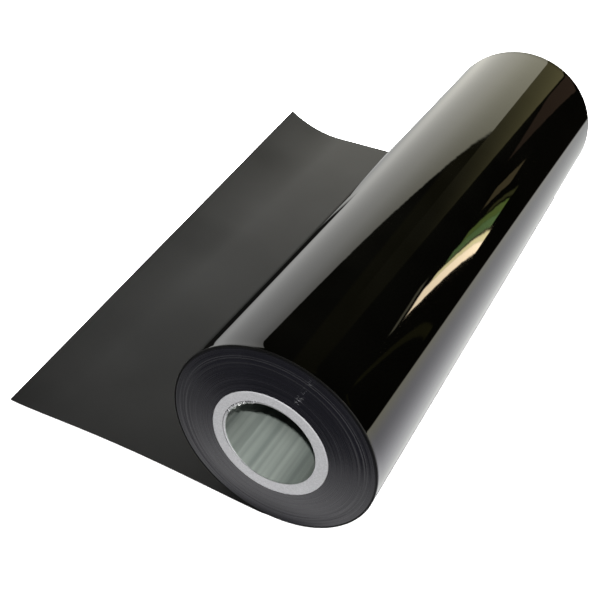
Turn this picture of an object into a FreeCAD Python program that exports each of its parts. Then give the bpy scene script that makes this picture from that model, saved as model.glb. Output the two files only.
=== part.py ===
import FreeCAD, Part
import math
import os

# A roll of self-adhesive sign vinyl, with the free end of its web lying on the bench beside it.
# Millimetres. The origin is on the axis of the core, half way along it. +Y runs along the bore,
# +Z is up, and the web leaves the bottom of the roll towards -X.

# --- driving dimensions -------------------------------------------------------------------------

# Core: a thick-walled plastic tube on the standard three-inch mandrel size.
core_bore = 76.4
core_wall = 10.8
core_overhang = 2.0        # how far the core stands out of the wound web at each end
core_edge_break = 0.8      # chamfer left by deburring the sawn ends

# Web: face film with its adhesive, on a release liner.
web_width = 610.0
film_thickness = 0.15
liner_thickness = 0.17
roll_diameter = 173.0      # over the outermost turn

# Start tape: holds the inner end of the web on the core.
tape_width = 38.0
tape_thickness = 0.25
tape_end_margin = 8.0      # tape stops this far from each edge of the web

# Tail: the stretches follow each other along the web, from the line where it touches down.
contact_width = 8.0        # the roll's own weight presses the web flat this far past the line
take_off_length = 14.0     # stays under the roll as it travels
run_in_length = 146.0      # is wound up as the roll travels over it
laid_strip_length = 40.0   # lies still on the bench
free_flat_length = 32.0    # from the fold where the free end lifts to where it starts to curl
curl_length_near = 40.0    # the end was cut by hand, so it is not square to the roll
curl_length_far = 81.0
curl_radius_near = 900.0   # almost flat at the near edge
curl_radius_far = 138.0    # the film's memory of the roll lifts the far corner

# Clearances.
running_gap = 0.3          # between the outermost turn and the web that lies under it
fold_gap = 0.2             # between stretches of web that move apart

# --- sizes that follow ----------------------------------------------------------------------------

core_bore_radius = core_bore / 2
core_radius = core_bore_radius + core_wall
web_thickness = film_thickness + liner_thickness
roll_radius = roll_diameter / 2
turn_liner_radius = roll_radius - film_thickness
wound_radius = roll_radius - web_thickness
wound_bore_radius = core_radius + tape_thickness
bench_level = -(roll_radius + running_gap + web_thickness)
film_top = bench_level + film_thickness
web_top = bench_level + web_thickness
run_in_end = take_off_length + run_in_length
fold = run_in_end + laid_strip_length
curl_start = fold + free_flat_length


def save(shape, node):
    """Writes one node, after making sure that it is sound."""
    if not shape.isValid() or shape.Volume <= 0:
        raise ValueError(node + " is not a valid solid")
    shape.exportStep("parts/" + node + ".step")
    print(node, "volume", round(shape.Volume, 1))


def tube(inner_radius, outer_radius, length):
    """A tube about the Y axis, centred on the origin."""
    start = FreeCAD.Vector(0, -length / 2, 0)
    along = FreeCAD.Vector(0, 1, 0)
    outside = Part.makeCylinder(outer_radius, length, start, along)
    inside = Part.makeCylinder(inner_radius, length, start, along)
    return outside.cut(inside)


def core_tube():
    """The core, with both sawn ends deburred inside and out."""
    half = web_width / 2 + core_overhang
    outline = [
        (core_bore_radius + core_edge_break, -half),
        (core_radius - core_edge_break, -half),
        (core_radius, -half + core_edge_break),
        (core_radius, half - core_edge_break),
        (core_radius - core_edge_break, half),
        (core_bore_radius + core_edge_break, half),
        (core_bore_radius, half - core_edge_break),
        (core_bore_radius, -half + core_edge_break),
    ]
    corners = [FreeCAD.Vector(radius, y, 0) for radius, y in outline]
    face = Part.Face(Part.makePolygon(corners + corners[:1]))
    return face.revolve(FreeCAD.Vector(0, 0, 0), FreeCAD.Vector(0, 1, 0), 360)


def start_tape():
    """A strip of tape bent round the top of the core."""
    length = web_width - 2 * tape_end_margin
    half_angle = math.degrees(tape_width / core_radius) / 2
    ring = tube(core_radius, core_radius + tape_thickness, length)
    reach = 2 * core_radius
    wedge = Part.makeCylinder(
        reach, length, FreeCAD.Vector(0, -length / 2, 0), FreeCAD.Vector(0, 1, 0), 2 * half_angle
    )
    # The wedge opens from +Z on one side; turning it back by half its angle centres it there.
    wedge.rotate(FreeCAD.Vector(0, 0, 0), FreeCAD.Vector(0, 1, 0), -half_angle)
    return ring.common(wedge)


def flat_ply(start, end, low, high):
    """A flat stretch of one ply, between two distances from the touch-down line."""
    corner = FreeCAD.Vector(-end, -web_width / 2, low)
    return Part.makeBox(end - start, web_width, high - low, corner)


def free_end_profile(y, curl_length, curl_radius, low, high):
    """One ply's section at one edge of the web: flat from the fold, then curled up to the cut."""
    start = fold + fold_gap
    turn = curl_length / curl_radius
    centre_z = bench_level + curl_radius

    def on_curl(height, angle):
        radius = curl_radius - (height - bench_level)
        return FreeCAD.Vector(-curl_start - radius * math.sin(angle), y, centre_z - radius * math.cos(angle))

    fold_low = FreeCAD.Vector(-start, y, low)
    fold_high = FreeCAD.Vector(-start, y, high)
    edges = [
        Part.LineSegment(fold_low, on_curl(low, 0)),
        Part.Arc(on_curl(low, 0), on_curl(low, turn / 2), on_curl(low, turn)),
        Part.LineSegment(on_curl(low, turn), on_curl(high, turn)),
        Part.Arc(on_curl(high, turn), on_curl(high, turn / 2), on_curl(high, 0)),
        Part.LineSegment(on_curl(high, 0), fold_high),
        Part.LineSegment(fold_high, fold_low),
    ]
    return Part.Wire([edge.toShape() for edge in edges])


def free_end_ply(low, high):
    """The free end of one ply: the two edges of the web, joined by straight lines."""
    near = free_end_profile(-web_width / 2, curl_length_near, curl_radius_near, low, high)
    far = free_end_profile(web_width / 2, curl_length_far, curl_radius_far, low, high)
    return Part.makeLoft([near, far], True, True)


os.makedirs("parts", exist_ok=True)

# The roll.
save(core_tube(), "core_tube")
save(start_tape(), "start_tape")
save(tube(wound_bore_radius, wound_radius, web_width), "wound_web")
save(tube(wound_radius, turn_liner_radius, web_width), "outer_turn_liner")
save(tube(turn_liner_radius, roll_radius, web_width), "outer_turn_film")

# The tail: the film lies on the bench, gloss side down, with the liner's back on top.
plies = {"film": (bench_level, film_top), "liner": (film_top, web_top)}
stretches = {
    "take_off": (-contact_width, take_off_length),
    "run_in": (take_off_length + fold_gap, run_in_end),
    "laid_strip": (run_in_end, fold),
}
for ply, (low, high) in plies.items():
    for stretch, (start, end) in stretches.items():
        save(flat_ply(start, end, low, high), stretch + "_" + ply)
    save(free_end_ply(low, high), "free_end_" + ply)
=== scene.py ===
import math
import random

import bmesh
import bpy
from mathutils import Matrix, Vector


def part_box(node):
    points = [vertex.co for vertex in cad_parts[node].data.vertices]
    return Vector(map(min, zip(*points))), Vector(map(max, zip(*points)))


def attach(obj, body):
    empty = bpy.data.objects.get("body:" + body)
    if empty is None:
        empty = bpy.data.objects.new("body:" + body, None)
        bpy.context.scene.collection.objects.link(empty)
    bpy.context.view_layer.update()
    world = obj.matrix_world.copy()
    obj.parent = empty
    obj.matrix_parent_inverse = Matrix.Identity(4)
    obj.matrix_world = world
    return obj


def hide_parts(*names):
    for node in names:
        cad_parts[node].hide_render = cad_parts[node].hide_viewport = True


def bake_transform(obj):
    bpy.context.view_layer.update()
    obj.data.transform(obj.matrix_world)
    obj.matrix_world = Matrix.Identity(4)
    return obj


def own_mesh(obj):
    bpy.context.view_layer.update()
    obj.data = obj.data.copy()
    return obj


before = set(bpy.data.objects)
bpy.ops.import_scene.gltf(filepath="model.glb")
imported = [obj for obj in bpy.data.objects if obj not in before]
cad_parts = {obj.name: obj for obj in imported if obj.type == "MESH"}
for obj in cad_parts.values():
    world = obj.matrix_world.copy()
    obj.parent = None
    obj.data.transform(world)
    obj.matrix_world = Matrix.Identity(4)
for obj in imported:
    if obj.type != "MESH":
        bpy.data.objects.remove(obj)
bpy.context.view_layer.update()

# ---- Studio camera -----------------------------------------------------------------------------
# A short telephoto held above and to the right of the near end of the roll and tipped a little,
# so the near end face, the mouth of the core and the whole loose end of the web are in view.
camera_place = Vector((0.22682, -0.71417, 0.49723))
camera_azimuth = math.radians(26.71)
camera_elevation = math.radians(37.73)
camera_tip = math.radians(1.93)
camera_back = Vector((
    math.sin(camera_azimuth) * math.cos(camera_elevation),
    -math.cos(camera_azimuth) * math.cos(camera_elevation),
    math.sin(camera_elevation),
))
camera_lens = bpy.data.cameras.new("studio_camera")
camera_lens.sensor_width = 36.0
camera_lens.lens = 54.36
camera = bpy.data.objects.new("studio_camera", camera_lens)
bpy.context.scene.collection.objects.link(camera)
camera.matrix_world = (
    Matrix.Translation(camera_place)
    @ (-camera_back).to_track_quat("-Z", "Y").to_matrix().to_4x4()
    @ Matrix.Rotation(camera_tip, 4, "Z")
)
bpy.context.scene.camera = camera

# ---- Core --------------------------------------------------------------------------------------
# A thick tube of extruded grey plastic on the three-inch mandrel size, sawn to length and roughly
# deburred. It stands a little out of the web at each end. Die lines run along its bore.
core_low, core_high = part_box("core_tube")
core_radius = core_high.z
core_length = core_high.y - core_low.y
core_wall = 0.0108
core_outer_edge = 0.00035
core_inner_edge = 0.0014
core_edge_shift = (-0.0006, 0, 0.0013)   # the near mouth is pared back more at the top
core_end_margin = 0.0002
core_edge_reach = 0.0001
end_face_corners = 8                     # only an end face has more corners than this
end_face_tilt = 0.9                      # an end face's normal lies at least this much along the roll
core_facets = 288
core_saw_steps = [(0.0006, 0.00005), (0.0030, -0.00008), (0.0030, 0.00006)]
core_burr_size = 0.0013
core_burr_share = 0.55               # of the corners along the torn stretch
core_burr_arc = (math.radians(104), math.radians(158))
core_burr_middle = math.radians(128)
core_face_light = (0.46, 0.46, 0.47, 1.0)
core_face_dark = (0.32, 0.32, 0.33, 1.0)
core_bore_light = (0.205, 0.228, 0.207, 1.0)
core_bore_dark = (0.120, 0.138, 0.126, 1.0)
# Painted shade: near-black colour for the deep bore.
core_bore_painted_shade = (0.020, 0.023, 0.021, 1.0)
# Painted highlight: pale colour for the lamp's glint on the torn burrs.
burr_painted_glint = (0.95, 0.95, 0.92, 1.0)


def open_edit(piece):
    """Takes a piece alone into edit mode with nothing selected, and returns its mesh for picking."""
    bpy.ops.object.select_all(action="DESELECT")
    piece.select_set(True)
    bpy.context.view_layer.objects.active = piece
    bpy.ops.object.mode_set(mode="EDIT")
    bpy.ops.mesh.select_all(action="DESELECT")
    return bmesh.from_edit_mesh(piece.data)


def close_edit(piece, smooth_angle=35):
    """Leaves edit mode, then smooths the faces that meet at less than the angle, in degrees."""
    bpy.ops.object.mode_set(mode="OBJECT")
    bpy.ops.object.shade_smooth_by_angle(angle=math.radians(smooth_angle))
    return piece


def pick_faces(piece, wanted):
    """Selects the faces of the piece in edit mode that the test accepts, and only those."""
    bpy.ops.mesh.select_all(action="DESELECT")
    bpy.ops.mesh.select_mode(type="FACE")
    mesh = bmesh.from_edit_mesh(piece.data)
    mesh.normal_update()
    for face in mesh.faces:
        face.select_set(wanted(face))
    bmesh.update_edit_mesh(piece.data)


def pick_edges(piece, wanted):
    """Selects the edges of the piece in edit mode that the test accepts, and only those."""
    bpy.ops.mesh.select_all(action="DESELECT")
    bpy.ops.mesh.select_mode(type="EDGE")
    mesh = bmesh.from_edit_mesh(piece.data)
    for edge in mesh.edges:
        edge.select_set(wanted(edge))
    bmesh.update_edit_mesh(piece.data)


def add_bar(name, radius, length, facets, ends="NGON", shift=0.0):
    """A plain bar or open sleeve about the Y axis, ready to be worked in edit mode."""
    bpy.ops.object.select_all(action="DESELECT")
    bpy.ops.mesh.primitive_cylinder_add(
        vertices=facets, radius=radius, depth=length, end_fill_type=ends,
        location=(0, shift, 0), rotation=(math.radians(90), 0, 0),
    )
    bar = bpy.context.object
    bar.name = name
    bpy.ops.object.transform_apply(location=True, rotation=True, scale=True)
    return bar


def bore_through(piece):
    """Joins the two innermost end faces of a bar into an open bore."""
    pick_faces(piece, lambda face: len(face.verts) > end_face_corners)
    bpy.ops.mesh.bridge_edge_loops()


def ring_radius(point):
    return math.hypot(point.x, point.z)


core = add_bar("core", core_radius, core_length, core_facets)
open_edit(core)
pick_faces(core, lambda face: abs(face.normal.y) > end_face_tilt)
core_inset_left = core_wall
for width, height in core_saw_steps:
    bpy.ops.mesh.inset(thickness=width, depth=height)
    core_inset_left -= width
bpy.ops.mesh.inset(thickness=core_inset_left, depth=0)
bore_through(core)
core_bore_radius = core_radius - core_wall
core_end = core_length / 2 - core_end_margin


def on_sawn_edge(edge, radius):
    """Whether an edge runs round a sawn end at the radius."""
    at_end = all(abs(corner.co.y) > core_end for corner in edge.verts)
    return at_end and all(abs(ring_radius(corner.co) - radius) < core_edge_reach for corner in edge.verts)


core_edges = ((core_radius, core_outer_edge, 4), (core_bore_radius, core_inner_edge, 1))
for radius, edge_break, cuts in core_edges:
    pick_edges(core, lambda edge: on_sawn_edge(edge, radius))
    bpy.ops.mesh.bevel(offset=edge_break, segments=cuts, affect="EDGES")
# Torn burrs are left on one stretch of the inner edge of the near end.
bpy.ops.mesh.select_all(action="DESELECT")
bpy.ops.mesh.select_mode(type="VERT")
core_mesh = bmesh.from_edit_mesh(core.data)
burr_draw = random.Random(11)
mouth_reach, mouth_depth = 0.8 * core_inner_edge, 1.2 * core_inner_edge
for corner in core_mesh.verts:
    angle = math.atan2(corner.co.z, corner.co.x)
    reach = ring_radius(corner.co) - core_bore_radius
    at_mouth = reach < mouth_reach and corner.co.y < -core_end + mouth_depth
    in_arc = at_mouth and core_burr_arc[0] < angle < core_burr_arc[1]
    corner.select_set(in_arc and burr_draw.random() < core_burr_share)
bmesh.update_edit_mesh(core.data)
bpy.ops.transform.vertex_random(offset=core_burr_size, uniform=1.0, normal=0.0, seed=5)
# The near mouth is pared back by hand, so its outer edge isn't quite round the bore.
bpy.ops.mesh.select_all(action="DESELECT")
for corner in core_mesh.verts:
    reach = ring_radius(corner.co) - core_bore_radius
    pared = abs(reach - core_inner_edge) < core_inner_edge / 4 and corner.co.y < -core_end
    corner.select_set(pared)
bmesh.update_edit_mesh(core.data)
bpy.ops.transform.translate(value=core_edge_shift)
close_edit(core)


def add_node(tree, kind, inputs=None, **settings):
    """Adds a shader node. An input is a value, or another node's output to link."""
    node = tree.nodes.new("ShaderNode" + kind)
    for setting, value in settings.items():
        setattr(node, setting, value)
    for socket_name, value in (inputs or {}).items():
        socket = node.inputs[socket_name]
        if isinstance(value, bpy.types.NodeSocket):
            tree.links.new(value, socket)
        else:
            socket.default_value = value
    return node


def new_finish(name):
    """A new material: itself, its node tree, its shader and its surface coordinates."""
    material = bpy.data.materials.new(name)
    material.use_nodes = True
    tree = material.node_tree
    place = add_node(tree, "TexCoord").outputs["Object"]
    return material, tree, tree.nodes["Principled BSDF"], place


def stretched(tree, place, scale):
    """The surface coordinates with each axis scaled on its own, to draw a pattern out."""
    return add_node(tree, "Mapping", {"Vector": place, "Scale": scale}).outputs["Vector"]


def noise(tree, place, scale, detail=3.0, roughness=0.5):
    """Soft random variation, from 0 to 1."""
    node = add_node(
        tree, "TexNoise", {"Vector": place, "Scale": scale, "Detail": detail, "Roughness": roughness}
    )
    return node.outputs["Fac"]


def calc(tree, operation, first, second=0.0):
    return add_node(tree, "Math", {0: first, 1: second}, operation=operation).outputs[0]


def spread(tree, value, low, high, new_low=0.0, new_high=1.0):
    """Carries a range of values to a new range, smoothly and with its ends held."""
    inputs = {"Value": value, "From Min": low, "From Max": high, "To Min": new_low, "To Max": new_high}
    return add_node(tree, "MapRange", inputs, interpolation_type="SMOOTHSTEP").outputs["Result"]


def tint(tree, mask, first, second):
    """First colour where the mask is 0, second where it is 1."""
    node = add_node(tree, "Mix", data_type="RGBA")
    for socket, value in ((node.inputs[0], mask), (node.inputs[6], first), (node.inputs[7], second)):
        if isinstance(value, bpy.types.NodeSocket):
            tree.links.new(value, socket)
        else:
            socket.default_value = value
    return node.outputs[2]


def relief(tree, height, depth, normal=None):
    """Turns a height pattern into a surface normal; depth is its size in metres."""
    inputs = {"Height": height, "Distance": depth, "Strength": 1.0}
    if normal is not None:
        inputs["Normal"] = normal
    return add_node(tree, "Bump", inputs).outputs["Normal"]


def along_axis(tree, place, axis):
    """How far a point lies along the X, Y or Z axis."""
    return add_node(tree, "SeparateXYZ", {"Vector": place}).outputs[axis]


def vector_value(tree, operation, first, second):
    """A number worked out from two places or directions, such as their distance."""
    return add_node(tree, "VectorMath", {0: first, 1: second}, operation=operation).outputs["Value"]


def mostly(tree, main, other, main_share=0.7):
    """Two masks added together, the main one with the larger share."""
    main_part = calc(tree, "MULTIPLY", main, main_share)
    return calc(tree, "ADD", main_part, calc(tree, "MULTIPLY", other, 1 - main_share))


def axis_distance(tree, place):
    """Distance from the axis of the roll."""
    flat = add_node(
        tree, "VectorMath", {0: place, 1: (1.0, 0.0, 1.0)}, operation="MULTIPLY"
    ).outputs["Vector"]
    return add_node(tree, "VectorMath", {0: flat}, operation="LENGTH").outputs["Value"]


noise_middle = (0.3, 0.7)  # most of a noise lies between these
# Effect shared by the finishes: fine grain, as a height and as a mask of lighter patches.
grain = bpy.data.node_groups.new("fine_grain", "ShaderNodeTree")
grain.interface.new_socket(name="Place", in_out="INPUT", socket_type="NodeSocketVector")
grain.interface.new_socket(name="Grain Scale", in_out="INPUT", socket_type="NodeSocketFloat")
grain.interface.new_socket(name="Patch Scale", in_out="INPUT", socket_type="NodeSocketFloat")
grain.interface.new_socket(name="Height", in_out="OUTPUT", socket_type="NodeSocketFloat")
grain.interface.new_socket(name="Patches", in_out="OUTPUT", socket_type="NodeSocketFloat")
grain_in = grain.nodes.new("NodeGroupInput")
grain_out = grain.nodes.new("NodeGroupOutput")
grain_fine = noise(grain, grain_in.outputs["Place"], grain_in.outputs["Grain Scale"], 4.0, 0.6)
grain_wide = noise(grain, grain_in.outputs["Place"], grain_in.outputs["Patch Scale"], 2.0)
grain.links.new(grain_fine, grain_out.inputs["Height"])
grain.links.new(spread(grain, grain_wide, *noise_middle), grain_out.inputs["Patches"])


def add_grain(tree, place, grain_scale, patch_scale):
    """Places the fine grain in a finish, and returns its height and its patches."""
    node = tree.nodes.new("ShaderNodeGroup")
    node.node_tree = grain
    tree.links.new(place, node.inputs["Place"])
    node.inputs["Grain Scale"].default_value = grain_scale
    node.inputs["Patch Scale"].default_value = patch_scale
    return node.outputs["Height"], node.outputs["Patches"]


core_grain = (900.0, 160.0)             # scales of its fine grain and of its patches
core_grain_depth = 0.00012
core_speckle_band = (0.32, 0.68)
saw_line_stretch = (60.0, 60.0, 1500.0)
die_line_stretch = (150.0, 2.0, 150.0)
die_line_depth = 0.00006
bore_band = (0.0006, 0.0002)            # where the sawn face ends and the bore begins
bore_shade_depths = (0.030, 0.085)         # painted shade darkens the bore between these depths
burr_glint_spread = (0.014, 0.004)
burr_glint_speck_band = (0.55, 0.62)
burr_glint_band = (0.0022, 0.0012)
core_roughness = (0.62, 0.36)           # sawn face, bore
core_plastic, tree, shader, place = new_finish("core_plastic")
height, patches = add_grain(tree, place, *core_grain)
speckle = spread(tree, height, *core_speckle_band)
saw_lines = noise(tree, stretched(tree, place, saw_line_stretch), 1.0, detail=2.0)
face_mask = mostly(tree, speckle, saw_lines)
die_lines = noise(tree, stretched(tree, place, die_line_stretch), 1.0, detail=1.5)
from_axis = axis_distance(tree, place)
bore_mask = spread(tree, from_axis, *(core_bore_radius + step for step in bore_band))
core_face_colour = tint(tree, face_mask, core_face_dark, core_face_light)
core_bore_colour = tint(tree, spread(tree, die_lines, *noise_middle), core_bore_dark, core_bore_light)
# Painted shade: the bore's colour darkens with depth, standing in for the shade deep inside the tube.
from_middle = calc(tree, "ABSOLUTE", along_axis(tree, place, "Y"))
bore_shade_mask = spread(tree, from_middle, *(core_end - depth for depth in bore_shade_depths))
core_bore_colour = tint(tree, bore_shade_mask, core_bore_colour, core_bore_painted_shade)
core_colour = tint(tree, bore_mask, core_face_colour, core_bore_colour)
# Painted highlight: pale specks on the torn burrs of the near mouth stand in for the lamp's glint on them.
burr_out = Vector((math.cos(core_burr_middle), 0, math.sin(core_burr_middle))) * core_bore_radius
burr_place = (burr_out.x, -core_end, burr_out.z)
burr_distance = vector_value(tree, "DISTANCE", place, burr_place)
burr_glint_specks = spread(tree, height, *burr_glint_speck_band)
burr_glint_mask = calc(tree, "MULTIPLY", spread(tree, burr_distance, *burr_glint_spread), burr_glint_specks)
burr_glint_edge = spread(tree, from_axis, *(core_bore_radius + step for step in burr_glint_band))
burr_glint_mask = calc(tree, "MULTIPLY", burr_glint_mask, burr_glint_edge)
tree.links.new(tint(tree, burr_glint_mask, core_colour, burr_painted_glint), shader.inputs["Base Color"])
tree.links.new(spread(tree, bore_mask, 0.0, 1.0, *core_roughness), shader.inputs["Roughness"])
core_bumps = relief(tree, height, core_grain_depth)
tree.links.new(relief(tree, die_lines, die_line_depth, core_bumps), shader.inputs["Normal"])
shader.inputs["IOR"].default_value = 1.48
core.data.materials.append(core_plastic)
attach(core, "roll")
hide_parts("core_tube")

# ---- Start tape --------------------------------------------------------------------------------
# A strip of creped paper tape that holds the inner end of the web on the core. It is wound in, so
# nothing of it shows until the roll is used up.
start_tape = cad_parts["start_tape"]
tape_light = (0.55, 0.42, 0.22, 1.0)
tape_dark = (0.40, 0.29, 0.14, 1.0)
tape_grain = (700.0, 90.0)
crepe_stretch = (250.0, 1200.0, 250.0)
crepe_depth = 0.00005
tape_roughness = (0.6, 0.75)
tape, tree, shader, place = new_finish("crepe_tape")
height, patches = add_grain(tree, place, *tape_grain)
crepe = noise(tree, stretched(tree, place, crepe_stretch), 1.0, detail=2.0)
tree.links.new(tint(tree, crepe, tape_dark, tape_light), shader.inputs["Base Color"])
tree.links.new(spread(tree, patches, 0.0, 1.0, *tape_roughness), shader.inputs["Roughness"])
tree.links.new(relief(tree, crepe, crepe_depth), shader.inputs["Normal"])
start_tape.data.materials.clear()
start_tape.data.materials.append(tape)

# ---- Wound web ---------------------------------------------------------------------------------
# More than a hundred turns of black film on its liner, wound tight on the core. The slit edges
# show at each end as fine rings; groups of turns stand a little in or out of their neighbours,
# and the whole winding has crept along the core towards its outer turns.
wound_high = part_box("wound_web")[1]
wound_radius = wound_high.z
web_half_width = wound_high.y
wound_bore_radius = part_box("start_tape")[1].z
winding_creep = 0.002
winding_lean = 0.0034
wound_facets = 192
turn_group_widths = (0.0004, 0.0009)
turn_group_steps = (0.00001, 0.00006)
outer_zone = 0.014
outer_group_steps = (0.00004, 0.00017)
last_group = 1.5 * turn_group_widths[1]
shoulder_steps = [(0.0004, 0.0006), (0.0008, 0.0004)]
edge_dark = (0.0035, 0.0035, 0.0058, 1.0)
edge_light = (0.0085, 0.0083, 0.0115, 1.0)
# Painted highlight: pale colour for the lamp's glint on the slit edges.
edge_painted_glint = (0.30, 0.30, 0.31, 1.0)
# Painted shade: dark colour for the last turns.
edge_rim_painted_shade = (0.0008, 0.0008, 0.0010, 1.0)


def wind_end(piece, side, seed):
    """Steps the end face on one side (-1 near, 1 far) inwards ring by ring to the core."""
    draw = random.Random(seed)
    pick_faces(piece, lambda face: face.normal.y * side > end_face_tilt)
    full = left = wound_radius - wound_bore_radius
    stand = 0.0
    for width, height in shoulder_steps:
        bpy.ops.mesh.inset(thickness=width, depth=height)
        left -= width
    while left > last_group:
        width = draw.uniform(*turn_group_widths)
        # The lean is worked off evenly, and each group wanders about that line, most in the outer zone.
        target = -side * winding_lean * (1 - (left - width) / full)
        steps = outer_group_steps if left > full - outer_zone else turn_group_steps
        wander = draw.uniform(*steps) * draw.choice((-1, 1))
        step = target + wander - stand
        bpy.ops.mesh.inset(thickness=width, depth=step)
        stand += step
        left -= width
    bpy.ops.mesh.inset(thickness=left, depth=-side * winding_lean - stand)


shoulder_height = sum(height for width, height in shoulder_steps)
wound_turns = add_bar(
    "wound_turns", wound_radius, 2 * (web_half_width - shoulder_height), wound_facets, shift=winding_creep
)
open_edit(wound_turns)
wind_end(wound_turns, -1, 21)
wind_end(wound_turns, 1, 22)
bore_through(wound_turns)
close_edit(wound_turns, 60)

turn_scale, turn_band_scale = 1500.0, 260.0
turn_band_middle = (0.25, 0.75)
turn_relief, edge_grain_relief = 0.00006, 0.00004
edge_grain = (420.0, 28.0)
edge_roughness = (0.24, 0.32)
rim_band = (0.0022, 0.0010)             # inside the last turns, which stand back: painted shade darkens them
rim_dull = 0.55
glint_angle = math.radians(67.5)        # where the painted glint of the lamp on the edges of the turns lies, and how wide and far
glint_half_width = (0.0032, 0.0004)
glint_from, glint_to = (0.054, 0.058), (0.088, 0.060)
glint_break_scale = 520.0
glint_tick_band, glint_break_band = (0.52, 0.66), (0.48, 0.58)


def ring_noise(tree, distance, scale, detail):
    """Random rings about the axis of the roll."""
    inputs = {"W": distance, "Scale": scale, "Detail": detail}
    return add_node(tree, "TexNoise", inputs, noise_dimensions="1D").outputs["Fac"]


web_edges, tree, shader, place = new_finish("slit_edges")
distance = axis_distance(tree, place)
turns = ring_noise(tree, distance, turn_scale, detail=2.0)
turn_bands = ring_noise(tree, distance, turn_band_scale, detail=3.0)
height, patches = add_grain(tree, place, *edge_grain)
turn_bands = spread(tree, turn_bands, *turn_band_middle)
ring_mask = calc(tree, "MULTIPLY", spread(tree, turns, *noise_middle), turn_bands)
ring_mask = mostly(tree, ring_mask, patches)
# Painted highlight: broken ticks along one radius stand in for the lamp's glint on the slit edges of the
# turns.
glint_out = (math.cos(glint_angle), 0.0, math.sin(glint_angle))
glint_side = (math.sin(glint_angle), 0.0, -math.cos(glint_angle))
along_glint = vector_value(tree, "DOT_PRODUCT", place, glint_out)
across_glint = vector_value(tree, "DOT_PRODUCT", place, glint_side)
glint_ticks = spread(tree, turns, *glint_tick_band)
glint_breaks = spread(tree, noise(tree, place, glint_break_scale, detail=1.0), *glint_break_band)
glint_ticks = calc(tree, "MULTIPLY", glint_ticks, glint_breaks)
glint_width = spread(tree, calc(tree, "ABSOLUTE", across_glint), *glint_half_width)
glint_mask = calc(tree, "MULTIPLY", glint_width, glint_ticks)
glint_start = spread(tree, along_glint, *glint_from)
glint_reach = calc(tree, "MULTIPLY", glint_start, spread(tree, along_glint, *glint_to))
glint_mask = calc(tree, "MULTIPLY", glint_mask, glint_reach)
# Painted shade: the colour darkens over the last turns, where they stand back from the face.
rim = spread(tree, distance, *(wound_radius - step for step in rim_band))
ring_colour = tint(tree, rim, tint(tree, ring_mask, edge_dark, edge_light), edge_rim_painted_shade)
tree.links.new(tint(tree, glint_mask, ring_colour, edge_painted_glint), shader.inputs["Base Color"])
ring_roughness = spread(tree, ring_mask, 0.0, 1.0, *edge_roughness)
rim_roughness = spread(tree, rim, 0.0, 1.0, 0.0, rim_dull)
tree.links.new(calc(tree, "MAXIMUM", ring_roughness, rim_roughness), shader.inputs["Roughness"])
ring_bumps = relief(tree, turns, turn_relief)
tree.links.new(relief(tree, height, edge_grain_relief, ring_bumps), shader.inputs["Normal"])
shader.inputs["IOR"].default_value = 1.5
wound_turns.data.materials.append(web_edges)
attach(wound_turns, "roll")
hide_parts("wound_web")

# ---- Outer turn --------------------------------------------------------------------------------
# The last full turn: black gloss vinyl outside, its dark release liner inside. The film is cast,
# so it mirrors the room almost without ripple. Each ply is a sleeve closed at its own thickness.
film_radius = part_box("outer_turn_film")[1].z
liner_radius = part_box("outer_turn_liner")[1].z
film_thickness = film_radius - liner_radius
liner_thickness = liner_radius - wound_radius
outer_facets = 256
raised_edge = [(0.0006, 0.0), (0.002, -0.00001), (0.002, -0.00003), (0.002, -0.00006), (0.002, -0.0001)]
turned_edge = [(0.0004, 0.00005), (0.0003, 0.0001), (0.0003, 0.0002)]
web_shoulder = raised_edge + turned_edge  # each step along the roll, and inwards
film_black = (0.0004, 0.0004, 0.0003, 1.0)
film_haze = (0.0008, 0.0008, 0.0006, 1.0)
liner_dark = (0.0034, 0.0034, 0.0033, 1.0)
liner_pale = (0.0056, 0.0056, 0.0054, 1.0)
sleeve_edge_reach = 0.00001
ply_smooth_angle = math.radians(35)


def thicken(piece, thickness, offset):
    """Gives an open surface its thickness; offset -1 grows it inwards and 1 outwards."""
    bpy.ops.object.select_all(action="DESELECT")
    piece.select_set(True)
    bpy.context.view_layer.objects.active = piece
    wall = piece.modifiers.new("ply", "SOLIDIFY")
    wall.thickness = thickness
    wall.offset = offset
    bpy.ops.object.modifier_apply(modifier=wall.name)
    bpy.ops.object.shade_smooth_by_angle(angle=ply_smooth_angle)


def wrap_sleeve(name, radius, thickness, shoulder):
    """One ply of the outer turn. Its slit edges stand up a little, then turn in over the shoulder."""
    drawn_in = sum(along for along, inward in shoulder)
    sleeve = add_bar(name, radius, 2 * (web_half_width - drawn_in), outer_facets, "NOTHING", winding_creep)
    for side in (-1, 1):
        open_edit(sleeve)
        edge_y = side * (web_half_width - drawn_in) + winding_creep
        reach = radius
        pick_edges(
            sleeve, lambda edge: all(abs(end.co.y - edge_y) < sleeve_edge_reach for end in edge.verts)
        )
        for along, inward in shoulder:
            bpy.ops.mesh.extrude_edges_move(TRANSFORM_OT_translate={"value": (0, side * along, 0)})
            shrink = (reach - inward) / reach
            reach -= inward
            bpy.ops.transform.resize(value=(shrink, 1, shrink), center_override=(0, 0, 0))
        bpy.ops.mesh.select_all(action="SELECT")
        bpy.ops.mesh.normals_make_consistent(inside=False)
        bpy.ops.object.mode_set(mode="OBJECT")
    thicken(sleeve, thickness, -1)
    return sleeve


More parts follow.
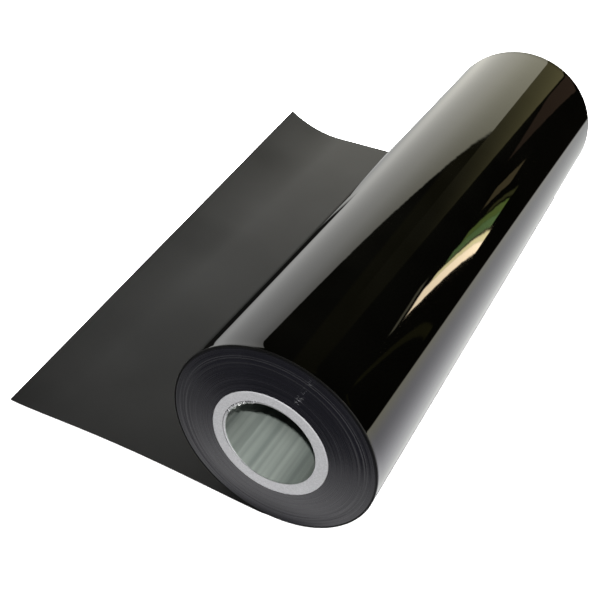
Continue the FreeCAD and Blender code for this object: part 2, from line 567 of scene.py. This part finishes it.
film_grain = (260.0, 14.0)
film_grain_relief, gauge_band_relief = 0.000001, 0.00003
gauge_band_stretch = (2.0, 38.0, 2.0)   # slight bands of thickness round the web
film_gloss = (0.018, 0.032)
slit_band, slit_dull = (0.0014, 0.0006), 0.5   # the knife leaves the slit edges dull
vinyl_film, tree, shader, place = new_finish("gloss_black_vinyl")
height, patches = add_grain(tree, place, *film_grain)
gauge_bands = noise(tree, stretched(tree, place, gauge_band_stretch), 1.0, detail=2.0)
tree.links.new(tint(tree, patches, film_black, film_haze), shader.inputs["Base Color"])
film_ripple = relief(tree, gauge_bands, gauge_band_relief)
tree.links.new(relief(tree, height, film_grain_relief, film_ripple), shader.inputs["Normal"])
shader.inputs["IOR"].default_value = 1.5
off_centre = calc(tree, "ABSOLUTE", calc(tree, "SUBTRACT", along_axis(tree, place, "Y"), winding_creep))
slit_low, slit_high = (web_half_width - step for step in slit_band)
slit_roughness = spread(tree, off_centre, slit_low, slit_high, 0.0, slit_dull)
film_roughness = spread(tree, patches, 0.0, 1.0, *film_gloss)
tree.links.new(calc(tree, "MAXIMUM", film_roughness, slit_roughness), shader.inputs["Roughness"])

liner_grain = (1400.0, 9.0)
liner_grain_relief, liner_patch_relief = 0.000012, 0.00008
fibre_stretch = (60.0, 220.0, 60.0)
liner_satin = (0.36, 0.41)
release_liner, tree, shader, place = new_finish("satin_release_liner")
height, patches = add_grain(tree, place, *liner_grain)
fibre = noise(tree, stretched(tree, place, fibre_stretch), 1.0, detail=4.0, roughness=0.6)
liner_mask = mostly(tree, patches, fibre)
tree.links.new(tint(tree, liner_mask, liner_dark, liner_pale), shader.inputs["Base Color"])
tree.links.new(spread(tree, liner_mask, 0.0, 1.0, *liner_satin), shader.inputs["Roughness"])
liner_bumps = relief(tree, height, liner_grain_relief)
tree.links.new(relief(tree, patches, liner_patch_relief, liner_bumps), shader.inputs["Normal"])
shader.inputs["IOR"].default_value = 1.38

outer_film = wrap_sleeve("outer_film", film_radius, film_thickness, web_shoulder)
outer_film.data.materials.append(vinyl_film)
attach(outer_film, "roll")
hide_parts("outer_turn_film")

outer_liner = wrap_sleeve("outer_liner", liner_radius, liner_thickness, web_shoulder)
outer_liner.data.materials.append(release_liner)
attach(outer_liner, "roll")
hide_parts("outer_turn_liner")

# ---- Loose web ---------------------------------------------------------------------------------
# The free end of the web, film down and liner up: it comes off the bottom of the roll, lies on
# the bench and curls up at its far corner, where it was cut by hand. It is made in three lengths
# that follow each other: under the roll, the length that winds up as the roll travels, and the end.
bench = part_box("take_off_film")[0].z
take_off_end = -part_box("take_off_film")[0].x
run_in_end = -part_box("run_in_film")[0].x
fold = -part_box("laid_strip_film")[0].x
curl_start = fold + 0.032
curl_near = (0.040, 0.900)         # length and radius of the curl at the near edge of the web
curl_far = (0.081, 0.138)          # and at the far edge
edge_lift = 0.0048                 # the near edge stands off the bench beside the roll
edge_lift_run = (0.012, 0.267)
edge_lift_reach = 0.15
edge_lift_shape = 1.3
bench_ripple = 0.00030
ripple_waves = ((24, 9, 0.0), (11, -31, 1.0))  # each wave: across, along and its start, in radians
settle_start, settle_length = 0.02, 0.06       # the ripple begins clear of the roll
tuck_run, tuck_share = 0.012, 0.0010 / 0.305   # its slit edges follow the turned-in ends of the roll
cells_across = 96
cells_under_roll, cells_run_in, cells_loose_end = 24, 64, 72


def loose_height(run, across):
    """How far the web stands off the bench: run from the touch-down line, across from the near edge."""
    lift_start, lift_end = edge_lift_run
    lift = 0.0
    if lift_start < run < lift_end:
        lift = max(0.0, math.sin(math.pi * (run - lift_start) / (lift_end - lift_start)))
    lift = edge_lift * lift ** edge_lift_shape * math.exp(-((across / edge_lift_reach) ** 2))
    settle = min(1.0, max(0.0, (run - settle_start) / settle_length))
    ripple = sum(1 + math.sin(a * across + b * run + start) for a, b, start in ripple_waves)
    return lift + bench_ripple * settle * ripple / (2 * len(ripple_waves))


def curl_point(share, curl):
    """A point on the curl at one edge, with this share of the curl's length before it."""
    length, radius = curl
    turn = share * length / radius
    return Vector((-curl_start - radius * math.sin(turn), 0, bench + radius - radius * math.cos(turn)))


def loose_point(run, across):
    """A point on the underside of the web. Past the start of the curl, run counts on from there."""
    tucked = 1 - tuck_share * max(0.0, 1 - run / tuck_run) ** 2
    y = (-web_half_width + across) * tucked + winding_creep
    if run <= curl_start:
        return Vector((-run, y, bench + loose_height(run, across)))
    share = (run - curl_start) / curl_near[0]
    near = curl_point(share, curl_near)
    far = curl_point(share, curl_far)
    point = near.lerp(far, across / (2 * web_half_width))
    return Vector((point.x, y, point.z + loose_height(run, across)))


def lay_ply(name, start, end, cells_along, below, thickness):
    """One ply of one length of the loose web; below is the thickness of what lies under it."""
    bpy.ops.object.select_all(action="DESELECT")
    bpy.ops.mesh.primitive_grid_add(
        x_subdivisions=cells_along, y_subdivisions=cells_across, size=1, location=(0, 0, 0)
    )
    ply = bpy.context.object
    ply.name = name
    for corner in ply.data.vertices:
        run = start + (0.5 - corner.co.x) * (end - start)
        corner.co = loose_point(run, (corner.co.y + 0.5) * 2 * web_half_width)
    ply.data.update()
    rise = [corner.normal * below for corner in ply.data.vertices]
    for corner, step in zip(ply.data.vertices, rise):
        corner.co += step
    ply.data.update()
    thicken(ply, thickness, 1)
    return ply


loose_plies = {
    "film": (0.0, film_thickness, vinyl_film, "vinyl_film"),
    "liner": (film_thickness, liner_thickness, release_liner, "release_liner"),
}
for ply_name, (below, thickness, finish, slot) in loose_plies.items():
    under_roll = lay_ply("under_roll_" + ply_name, 0.0, take_off_end, cells_under_roll, below, thickness)
    under_roll.data.materials.append(finish)
    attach(under_roll, "take_off")
    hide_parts("take_off_" + ply_name)

    run_in = lay_ply(
        "run_in_length_" + ply_name, take_off_end, run_in_end, cells_run_in, below, thickness
    )
    run_in.data.materials.append(finish)
    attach(run_in, "laid_web")
    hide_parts("run_in_" + ply_name)

    loose_end = lay_ply(
        "loose_end_" + ply_name, run_in_end, curl_start + curl_near[0], cells_loose_end, below, thickness
    )
    loose_end.data.materials.append(finish)
    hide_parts("laid_strip_" + ply_name, "free_end_" + ply_name)

    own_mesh(run_in)
    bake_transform(loose_end)

# ---- Bench, lights and surround ----------------------------------------------------------------
# A plain white bench lit from below as well, a lamp high behind the camera and a pale room. What
# the glossy and satin surfaces mirror is a white backdrop to the left, the white bench, a dark
# ceiling and a window to the right.
bench_size = 8.0
bench_drop = 0.00008
bench_glow = 0.42
bench_grain = (90.0, 3.0)
bench_white, bench_white_patch = (0.60, 0.60, 0.60, 1.0), (0.62, 0.62, 0.62, 1.0)
bench_shade, bench_shade_patch = (0.010, 0.010, 0.010, 1.0), (0.012, 0.012, 0.012, 1.0)
card_black, card_white = (0.0, 0.0, 0.0, 1.0), (0.99, 0.98, 1.0, 1.0)
bpy.ops.object.select_all(action="DESELECT")
bpy.ops.mesh.primitive_plane_add(size=bench_size, location=(0, 0, bench - bench_drop))
bench_top = bpy.context.object
bench_top.name = "bench"
bench_top.visible_glossy = False
bench_top.visible_diffuse = False
bench_paint, tree, shader, place = new_finish("white_bench")
patches = add_grain(tree, place, *bench_grain)[1]
tree.links.new(tint(tree, patches, bench_white, bench_white_patch), shader.inputs["Base Color"])
shader.inputs["Roughness"].default_value = 0.7
shader.inputs["Emission Color"].default_value = (1.0, 1.0, 1.0, 1.0)
shader.inputs["Emission Strength"].default_value = bench_glow
bench_top.data.materials.append(bench_paint)


def lay_card(name, drops, sides, back, fronts):
    """A card just under the bench top, hidden from the camera; sides and fronts are left, then right."""
    bpy.ops.mesh.primitive_plane_add(size=1, location=(0, 0, bench - drops * bench_drop))
    card = bpy.context.object
    card.name = name
    for corner in card.data.vertices:
        side = 0 if corner.co.x < 0 else 1
        at_front = corner.co.y < 0
        corner.co.x = sides[side]
        corner.co.y = fronts[side] if at_front else back
    card.visible_camera = False
    card.visible_shadow = False
    return card


# The front edge of the bench lies close before the near end of the roll, as the slit edges show:
# a card stands for the strip of bench between them, and the dark room begins beyond it.
bench_card = lay_card(
    "bench_card", drops=2, sides=(-0.50, 0.35), back=-0.303, fronts=(-0.452, -0.367)
)
card_paint, tree, shader, place = new_finish("white_card")
across_card = along_axis(tree, place, "X")
along_card = along_axis(tree, place, "Y")
# Painted shade on the card's glow: darkest at the back, under the roll, where the bench lies in its
# shadow; it is also dimmer towards the front and the left.
card_back_shade = spread(tree, along_card, -0.304, -0.322, 0.2, 1.0)
card_front_shade = spread(tree, along_card, -0.390, -0.325, 0.6, 1.0)
card_left_shade = spread(tree, across_card, -0.16, -0.03, 0.55, 1.0)
card_shade = calc(tree, "MULTIPLY", card_back_shade, card_front_shade)
card_shade = calc(tree, "MULTIPLY", card_shade, card_left_shade)
tree.links.new(tint(tree, card_shade, card_black, card_white), shader.inputs["Emission Color"])
shader.inputs["Base Color"].default_value = card_black
shader.inputs["Emission Strength"].default_value = 1.2
bench_card.data.materials.append(card_paint)

# Right under the roll the bench is in its shadow, which the turned-in edge mirrors: a dark card stands in
# for that shadow, as painted shade seen only in reflections.
shade_front = -web_half_width + winding_creep
shade_card = lay_card(
    "shade_card", drops=3, sides=(-0.06, 0.078), back=web_half_width, fronts=(shade_front, shade_front)
)
shade_card.visible_diffuse = False
shade_paint, tree, shader, place = new_finish("bench_in_shade")
patches = add_grain(tree, place, *bench_grain)[1]
tree.links.new(tint(tree, patches, bench_shade, bench_shade_patch), shader.inputs["Base Color"])
shader.inputs["Specular IOR Level"].default_value = 0.0
shade_card.data.materials.append(shade_paint)

# The lamp throws the short shadows. It shows in no reflection.
lamp_direction = Vector((0.2757, -0.5756, 0.7698))
lamp = bpy.data.lights.new("studio_lamp", "SUN")
lamp.energy = 5.2
lamp.angle = math.radians(1.5)
studio_lamp = bpy.data.objects.new("studio_lamp", lamp)
bpy.context.scene.collection.objects.link(studio_lamp)
studio_lamp.rotation_euler = lamp_direction.to_track_quat("Z", "Y").to_euler()
studio_lamp.visible_glossy = False
# A softbox low over the far part of the loose web, out of every reflection.
softbox_place = (-0.42, 0.28, 0.42)
softbox_direction = Vector((-0.17, 0.10, 0.50))
web_light = bpy.data.lights.new("web_softbox", "AREA")
web_light.size = 0.35
web_light.energy = 32.0
web_softbox = bpy.data.objects.new("web_softbox", web_light)
bpy.context.scene.collection.objects.link(web_softbox)
web_softbox.location = softbox_place
web_softbox.rotation_euler = softbox_direction.to_track_quat("Z", "Y").to_euler()
web_softbox.visible_glossy = False
web_softbox.visible_camera = False

room = bpy.data.worlds.new("studio_room")
bpy.context.scene.world = room
room.use_nodes = True
tree = room.node_tree
room_air = tree.nodes["Background"]
toward = add_node(tree, "SeparateXYZ", {"Vector": add_node(tree, "TexCoord").outputs["Generated"]})
# Both angles are in degrees: the heading from the far end of the roll round to the right, and the
# rise above the level.
in_degrees = math.degrees(1.0)
turned = calc(tree, "ARCTAN2", toward.outputs["X"], toward.outputs["Y"])
heading = calc(tree, "MULTIPLY", turned, in_degrees)
rise = calc(tree, "MULTIPLY", calc(tree, "ARCSINE", toward.outputs["Z"]), in_degrees)


def above(value, edge, soft):
    """1 above an edge, 0 below it; the edge is a number or itself varies."""
    difference = calc(tree, "SUBTRACT", value, edge)
    return spread(tree, difference, -soft / 2, soft / 2)


def both(first, second):
    """Where two masks overlap."""
    return calc(tree, "MULTIPLY", first, second)


def line(value, slope, start):
    """A straight line: the start, plus the slope times the value."""
    return calc(tree, "ADD", calc(tree, "MULTIPLY", value, slope), start)


def within(value, low, high, soft):
    """1 between two angles in degrees, with soft ends."""
    return both(above(value, low, soft), above(high, value, soft))


def glow(colour, strength):
    """A colour times a strength."""
    scaled = add_node(tree, "VectorMath", {0: colour, "Scale": strength}, operation="SCALE")
    return scaled.outputs["Vector"]


def lay_over(under, over, mask):
    """Covers a colour with another where the mask is 1."""
    return tint(tree, mask, under, over)


ceiling = (0.006, 0.005, 0.003, 1.0)
far_ceiling = (0.030, 0.026, 0.008, 1.0)
surround = lay_over(ceiling, far_ceiling, within(heading, -8.0, 17.0, 4.0))
# Soft panels round the sides, before the near end and overhead, and a grey floor beyond the bench.
from_far_end = calc(tree, "ABSOLUTE", heading)
panels = [  # each: sideways mask, upwards mask, light
    (within(heading, 64.0, 125.0, 8.0), within(rise, 4.0, 50.0, 8.0), 1.0),
    (within(heading, -140.0, -84.0, 8.0), within(rise, 4.0, 26.0, 6.0), 0.8),
    (above(from_far_end, 150.0, 10.0), within(rise, 5.0, 30.0, 6.0), 0.35),
    (above(from_far_end, 90.0, 6.0), above(-2.0, rise, 4.0), 0.10),
    (above(from_far_end, -1.0, 1.0), above(rise, 68.0, 10.0), 0.6),
]
for sideways, upwards, light in panels:
    surround = lay_over(surround, (light, light, light, 1.0), both(sideways, upwards))
side_wall_glow = glow((1.0, 0.90, 0.42), spread(tree, rise, 36.0, 15.0, 0.05, 0.60))
side_wall = both(within(heading, 3.7, 17.0, 0.6), above(42.0, rise, 4.0))
surround = lay_over(surround, side_wall_glow, side_wall)
windows = [  # each pane: left and right heading, low and high rise, colour of its light
    (34.4, 35.1, 2.0, 18.5, (7.5, 6.6, 3.4)),
    (32.0, 33.0, 3.5, 15.5, (0.60, 0.86, 0.20)),
    (33.0, 34.1, 3.5, 17.0, (0.72, 1.20, 0.42)),
    (28.2, 29.9, 9.8, 16.0, (0.38, 0.30, 0.15)),
    (31.2, 31.7, 3.0, 12.0, (0.20, 0.20, 0.07)),
    (33.5, 38.0, 21.4, 22.6, (0.70, 0.66, 0.45)),
    (41.2, 42.2, -3.0, 24.0, (0.07, 0.065, 0.02)),
    (18.0, 24.0, 3.0, 19.0, (0.14, 0.09, 0.06)),
]
for left, right, low, high, light in windows:
    pane = both(within(heading, left, right, 0.3), within(rise, low, high, 0.8))
    surround = lay_over(surround, (*light, 1.0), pane)
# The brightest pane leans: its right-hand side follows the window frame.
leaning = both(above(heading, 35.1, 0.3), above(line(rise, 0.08, 35.85), heading, 0.3))
leaning = both(leaning, within(rise, 2.0, 19.8, 0.8))
surround = lay_over(surround, (11.5, 9.3, 6.3, 1.0), leaning)
backdrop_level = both(
    spread(tree, heading, -52.0, -12.0, 1.30, 1.74), spread(tree, rise, 35.0, 20.0, 0.68, 1.0)
)
backdrop_white, backdrop_cream = (1.0, 1.0, 0.99, 1.0), (1.0, 0.96, 0.72, 1.0)
backdrop_tint = tint(tree, spread(tree, heading, -50.0, 4.0), backdrop_white, backdrop_cream)
bench_level = spread(tree, heading, -30.0, 48.0, 0.78, 1.50)
bench_cool, bench_violet = (1.0, 1.01, 0.99, 1.0), (1.0, 0.99, 1.05, 1.0)
bench_tint = tint(tree, spread(tree, heading, 5.0, 48.0), bench_cool, bench_violet)
near_bench = spread(tree, rise, -2.0, -20.0)
bench_level = both(bench_level, spread(tree, rise, -18.0, -42.0, 0.76, 1.08))
white_field = lay_over(glow(backdrop_tint, backdrop_level), glow(bench_tint, bench_level), near_bench)
sag_right = calc(tree, "POWER", calc(tree, "MAXIMUM", line(heading, 1.0, 17.0), 0.0), 2.0)
sag_left = calc(tree, "MAXIMUM", line(heading, -1.0, -17.0), 0.0)
backdrop_top = calc(tree, "ADD", line(sag_right, -0.0065, 32.1), line(sag_left, -0.045, 0.0))
backdrop = both(within(heading, -54.0, 3.7, 0.5), above(backdrop_top, rise, 0.6))
bench_edge = calc(tree, "MINIMUM", line(heading, 0.337, -22.9), -3.0)
bench_field = both(above(bench_edge, rise, 1.0), within(heading, -56.0, 95.0, 2.0))
surround = lay_over(surround, white_field, calc(tree, "MAXIMUM", backdrop, bench_field))
# Beyond the end of the backdrop at the far left the bench is dark.
dark_left = both(above(-37.0, heading, 1.5), above(line(heading, 0.33, 3.2), rise, 1.5))
surround = lay_over(surround, (0.01, 0.01, 0.01, 1.0), both(dark_left, above(heading, -70.0, 4.0)))
# Low down between the backdrop and the bench, straight ahead, the room is dim and the bench grey.
gap_top = calc(tree, "MINIMUM", line(from_far_end, -0.9, 29.0), 18.5)
low_gap = both(above(gap_top, rise, 1.5), above(17.0, from_far_end, 3.0))
low_gap = both(low_gap, above(rise, -18.0, 3.0))
gap_dim, gap_grey = (0.07, 0.07, 0.07, 1.0), (0.26, 0.26, 0.26, 1.0)
gap_light = tint(tree, spread(tree, rise, 2.0, -12.0), gap_dim, gap_grey)
surround = lay_over(surround, gap_light, low_gap)
rays = add_node(tree, "LightPath")
tree.links.new(
    lay_over(surround, (1.0, 1.0, 1.0, 1.0), rays.outputs["Is Camera Ray"]), room_air.inputs["Color"]
)
bpy.context.scene.view_settings.view_transform = "Standard"
